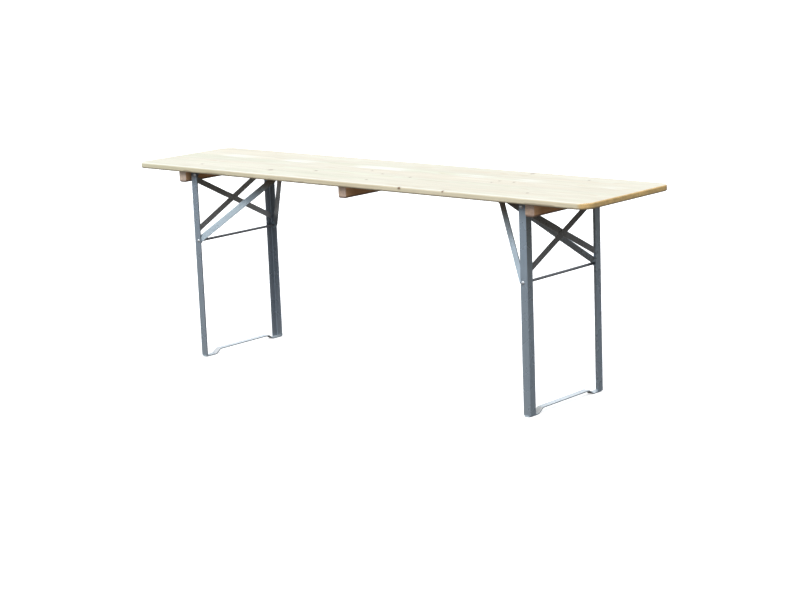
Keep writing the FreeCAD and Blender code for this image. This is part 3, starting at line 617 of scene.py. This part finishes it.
# Runs of the beads: share of a brace's width at the leg's toe, runs along its edges, shares of the foot bar.
TOE_BEAD_SHARE, EDGE_BEAD_START, EDGE_BEAD_LENGTH = 0.85, 0.003, 0.016
FOOT_BEAD_SHARES = ((0.10, 0.42), (0.55, 0.86))


def add_piece(name, mesh, body, material, replaced=()):
    data = bpy.data.meshes.new(name)
    bmesh.ops.recalc_face_normals(mesh, faces=mesh.faces)
    mesh.to_mesh(data)
    mesh.free()
    for polygon in data.polygons:
        polygon.use_smooth = True
    piece = bpy.data.objects.new(name, data)
    bpy.context.scene.collection.objects.link(piece)
    data.materials.append(material)
    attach(piece, body)
    if replaced:
        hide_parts(*replaced)


def ring(mesh, radius, height, count, centre):
    """Points of a level circle at a height above its centre."""
    angles = [math.tau * i / count for i in range(count)]
    places = [Vector((radius * math.cos(angle), radius * math.sin(angle), height)) for angle in angles]
    return [mesh.verts.new(centre + place) for place in places]


def skin(mesh, first, second):
    """Faces between two rings of as many points each."""
    count = len(first)
    for i in range(count):
        k = (i + 1) % count
        mesh.faces.new((first[i], first[k], second[k], second[i]))


def screw_places(name):
    """Middle of each screw's lowest face."""
    points = [vertex.co for vertex in nodes[name].data.vertices]
    low = min(point.z for point in points)
    groups = []
    for point in points:
        if point.z < low + LOW_MARGIN:
            for group in groups:
                if (group[0] - point).length < SCREW_SPACING:
                    group.append(point)
                    break
            else:
                groups.append([point])
    middles = []
    for group in groups:
        xs, ys = [p.x for p in group], [p.y for p in group]
        middles.append(Vector(((min(xs) + max(xs)) / 2, (min(ys) + max(ys)) / 2, low)))
    return middles


def screw(mesh, place, tip, turn):
    """Pan-head wood screw seen from below, with a cross recess and a tapered shank."""
    rings = [ring(mesh, radius, height, SCREW_SIDES, place) for radius, height in HEAD_PROFILE]
    for first, second in zip(rings, rings[1:]):
        skin(mesh, first, second)
    shank_profile = ((SHANK_RADIUS, SHANK_START), (TAPER_RADIUS, TAPER_SHARE * tip), (TIP_RADIUS, tip))
    shank = [ring(mesh, radius, height, SCREW_SIDES, place) for radius, height in shank_profile]
    skin(mesh, rings[0], shank[0])
    for first, second in zip(shank, shank[1:]):
        skin(mesh, first, second)
    mesh.faces.new(shank[-1])
    arm, slot = RECESS_ARM, RECESS_SLOT
    outline = ((arm, slot), (slot, slot), (slot, arm), (-slot, arm), (-slot, slot), (-arm, slot),
               (-arm, -slot), (-slot, -slot), (-slot, -arm), (slot, -arm), (slot, -slot), (arm, -slot))
    spin = Matrix.Rotation(turn, 3, "Z")
    mouth = [mesh.verts.new(place + spin @ Vector((x, y, 0.0))) for x, y in outline]
    floor = [mesh.verts.new(place + spin @ Vector((x * RECESS_TAPER, y * RECESS_TAPER, RECESS_DEPTH)))
             for x, y in outline]
    skin(mesh, mouth, floor)
    mesh.faces.new(floor)
    edges = []
    for loop in (rings[-1], mouth):
        for pair in zip(loop, loop[1:] + loop[:1]):
            edges.append(mesh.edges.get(pair) or mesh.edges.new(pair))
    bmesh.ops.bridge_loops(mesh, edges=edges)


def make_screws(material):
    draw = random.Random(5)
    for name, tip in SCREW_TIPS:
        mesh = bmesh.new()
        for place in screw_places(name):
            screw(mesh, place, tip, draw.uniform(0.0, math.tau))
        add_piece(f"{name}_cross_recess", mesh, "top", material, (name,))


def weld(mesh, start, end, first, second, size, draw):
    """Rippled bead in the corner of two faces, given by the ways they look."""
    run = end - start
    steps = max(LEAST_STEPS, int(run.length / BEAD_STEP))
    rows = []
    for i in range(steps + 1):
        share = i / steps
        taper = min(1.0, BEAD_TAPER * share, BEAD_TAPER * (1 - share)) ** 0.5 if 0 < i < steps else BEAD_END
        wave = RIPPLE * math.cos(share * run.length / RIPPLE_PITCH * math.tau)
        radius = size * taper * (1.0 + wave + draw.uniform(-RIPPLE_SPREAD, RIPPLE_SPREAD))
        middle = start + run * share
        row = [mesh.verts.new(middle - BEAD_SINK * (first + second))]
        for k in range(BEAD_POINTS):
            angle = math.pi / 2 * k / (BEAD_POINTS - 1)
            bulge = 1.0 - BEAD_HOLLOW * math.sin(2 * angle)
            way = first * math.cos(angle) + second * math.sin(angle)
            row.append(mesh.verts.new(middle + radius * bulge * way))
        rows.append(row)
    for one, other in zip(rows, rows[1:]):
        skin(mesh, one, other)
    mesh.faces.new(rows[0])
    mesh.faces.new(rows[-1])


def make_welds(material):
    """Beads that hold the braces to the legs and the legs to the foot bars."""
    draw = random.Random(11)
    for side, sign in (("left", -1), ("right", 1)):
        mesh = bmesh.new()
        leg_low, leg_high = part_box(f"{side}_leg_front")
        outer = max(abs(leg_low.x), abs(leg_high.x))
        inside = sign * (outer - WALL)
        toe = -leg_high.y
        outward, inward = Vector((sign, 0, 0)), Vector((-sign, 0, 0))
        for kind, rise in (("flat", 1), ("stepped", -1)):
            low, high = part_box(f"{side}_cross_brace_{kind}")
            middle = (low.z + high.z) / 2
            along = Vector((0, BRACE_RUN, rise * BRACE_CLIMB)).normalized()
            edge = Vector((0, -along.z, along.y))
            half = BRACE_WIDTH / 2
            for end in (-1, 1):
                crossing = Vector((inside, end * toe, middle + end * toe * along.z / along.y))
                reach = Vector((0, 0, TOE_BEAD_SHARE * half / along.y))
                weld(mesh, crossing - reach, crossing + reach, outward, Vector((0, -end, 0)), TOE_BEAD, draw)
                for face in (-1, 1):
                    start = crossing + edge * face * half + along * end * EDGE_BEAD_START
                    finish = start + along * end * EDGE_BEAD_LENGTH
                    weld(mesh, start, finish, inward, edge * face, BEAD, draw)
        foot_low, foot_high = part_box(f"{side}_foot_bar")
        for end in (-1, 1):
            seam_y = end * (-leg_low.y - WALL)
            for shares in FOOT_BEAD_SHARES:
                start, finish = (Vector((foot_low.x + share * (foot_high.x - foot_low.x), seam_y, leg_low.z))
                                 for share in shares)
                weld(mesh, start, finish, Vector((0, -end, 0)), Vector((0, 0, 1)), BEAD, draw)
        add_piece(f"{side}_leg_welds", mesh, f"{side}_leg_frame", material)


# Stage
# Floor and the wall round it: radius, heights, sides, scale of the noise, tones, glow.
FLOOR_RADIUS, WALL_RADIUS, WALL_HEIGHTS, STAGE_SIDES = 70.0, 69.0, (-0.5, 60.0), 96
FLOOR_NOISE, FLOOR_TONES = 3.0, ((0.0, (0.90, 0.90, 0.90)), (1.0, (0.94, 0.94, 0.94)))
WALL_NOISE, WALL_TONES = 0.2, ((0.0, (0.98, 0.98, 0.98)), (1.0, WHITE))
FLOOR_EMISSION, WALL_EMISSION, FLOOR_SPECULAR, STAGE_ROUGHNESS = 0.62, 1.0, 0.1, 0.9

# Light: ground and sky, a brighter side of the sky, and the lamp.
GROUND_COLOUR, SKY_COLOUR, HORIZON = rgb(0.15, 0.145, 0.14), rgb(0.61, 0.64, 0.68), 0.03
GLOW_WAY, GLOW_REACH, GLOW_STRENGTH = Vector((-0.90, 0.38, 0.20)), (0.45, 0.90), (1.0, 2.3)
LAMP_WAY, LAMP_ENERGY, LAMP_DEGREES = Vector((0.08, -0.60, 0.80)), 1.9, 36
LAMP_COLOUR = (1.0, 0.985, 0.95)

# Camera at the photograph's viewing angle, for a frame of 800 by 600 pixels.
CAMERA_PLACE = Vector((4.67843, -5.15890, 1.74981))
CAMERA_TURN, CAMERA_PITCH, CAMERA_ROLL = (math.radians(a) for a in (-41.865, -11.922, -2.206))
FOCAL_PIXELS, FRAME_PIXELS, SENSOR_MM, CLIP_END = 1896.41, 800, 36.0, 300


def make_floor():
    bpy.ops.mesh.primitive_circle_add(vertices=STAGE_SIDES, radius=FLOOR_RADIUS, fill_type="NGON")
    floor = bpy.context.object
    floor.name = "floor"
    g = Graph("pale_floor")
    g.set(Base_Color=g.ramp(g.noise(g.place, FLOOR_NOISE), FLOOR_TONES), Roughness=STAGE_ROUGHNESS,
          Specular_IOR_Level=FLOOR_SPECULAR, Emission_Color=rgb(*WHITE), Emission_Strength=FLOOR_EMISSION)
    dress(floor, g.material)
    floor.visible_diffuse = False
    floor.visible_glossy = False


def make_backdrop():
    """Pale wall far round the floor, kept out of the light, the reflections and the shadows."""
    mesh = bmesh.new()
    centre = Vector((0, 0, 0))
    foot, head = (ring(mesh, WALL_RADIUS, height, STAGE_SIDES, centre) for height in WALL_HEIGHTS)
    skin(mesh, foot, head)
    data = bpy.data.meshes.new("backdrop")
    mesh.to_mesh(data)
    mesh.free()
    wall = bpy.data.objects.new("backdrop", data)
    bpy.context.scene.collection.objects.link(wall)
    g = Graph("pale_wall")
    tone = g.ramp(g.noise(g.place, WALL_NOISE), WALL_TONES)
    g.set(Base_Color=tone, Emission_Color=tone, Roughness=STAGE_ROUGHNESS, Emission_Strength=WALL_EMISSION)
    dress(wall, g.material)
    wall.visible_diffuse = wall.visible_glossy = wall.visible_shadow = False


def make_light():
    """Even sky over darker ground, brighter on one side, and one broad soft lamp from the front."""
    world = bpy.data.worlds.new("studio")
    bpy.context.scene.world = world
    world.use_nodes = True
    tree = world.node_tree
    background = tree.nodes["Background"]
    direction = tree.nodes.new("ShaderNodeTexCoord").outputs["Generated"]
    split = tree.nodes.new("ShaderNodeSeparateXYZ")
    ramp = tree.nodes.new("ShaderNodeValToRGB")
    ground, sky = ramp.color_ramp.elements
    ground.position, ground.color = 0.0, GROUND_COLOUR
    sky.position, sky.color = HORIZON, SKY_COLOUR
    toward = tree.nodes.new("ShaderNodeVectorMath")
    toward.operation = "DOT_PRODUCT"
    toward.inputs[1].default_value = GLOW_WAY.normalized()
    glow = tree.nodes.new("ShaderNodeMapRange")
    glow.interpolation_type = "SMOOTHSTEP"
    for name, limit in zip(("From Min", "From Max", "To Min", "To Max"), (*GLOW_REACH, *GLOW_STRENGTH)):
        glow.inputs[name].default_value = limit
    tree.links.new(direction, split.inputs[0])
    tree.links.new(direction, toward.inputs[0])
    tree.links.new(toward.outputs["Value"], glow.inputs[0])
    tree.links.new(split.outputs[2], ramp.inputs[0])
    tree.links.new(ramp.outputs[0], background.inputs["Color"])
    tree.links.new(glow.outputs[0], background.inputs["Strength"])
    lamp = bpy.data.lights.new("key", "SUN")
    lamp.energy = LAMP_ENERGY
    lamp.angle = math.radians(LAMP_DEGREES)
    lamp.color = LAMP_COLOUR
    key = bpy.data.objects.new("key", lamp)
    key.rotation_euler = LAMP_WAY.to_track_quat("Z", "Y").to_euler()
    bpy.context.scene.collection.objects.link(key)


def make_camera():
    cos_pitch = math.cos(CAMERA_PITCH)
    forward = Vector((math.sin(CAMERA_TURN) * cos_pitch, math.cos(CAMERA_TURN) * cos_pitch,
                      math.sin(CAMERA_PITCH)))
    right = Vector((math.cos(CAMERA_TURN), -math.sin(CAMERA_TURN), 0))
    up = right.cross(forward)
    rolled_right = right * math.cos(CAMERA_ROLL) + up * math.sin(CAMERA_ROLL)
    rolled_up = up * math.cos(CAMERA_ROLL) - right * math.sin(CAMERA_ROLL)
    data = bpy.data.cameras.new("camera")
    data.sensor_width = SENSOR_MM
    data.lens = FOCAL_PIXELS * SENSOR_MM / FRAME_PIXELS
    data.clip_end = CLIP_END
    camera = bpy.data.objects.new("camera", data)
    turn = Matrix((rolled_right, rolled_up, -forward)).transposed().to_4x4()
    camera.matrix_world = Matrix.Translation(CAMERA_PLACE) @ turn
    bpy.context.scene.collection.objects.link(camera)
    bpy.context.scene.camera = camera


dress_top()
dress_battens()
dress_frame()
make_floor()
make_backdrop()
make_light()
make_camera()
bpy.context.scene.view_settings.view_transform = "Standard"
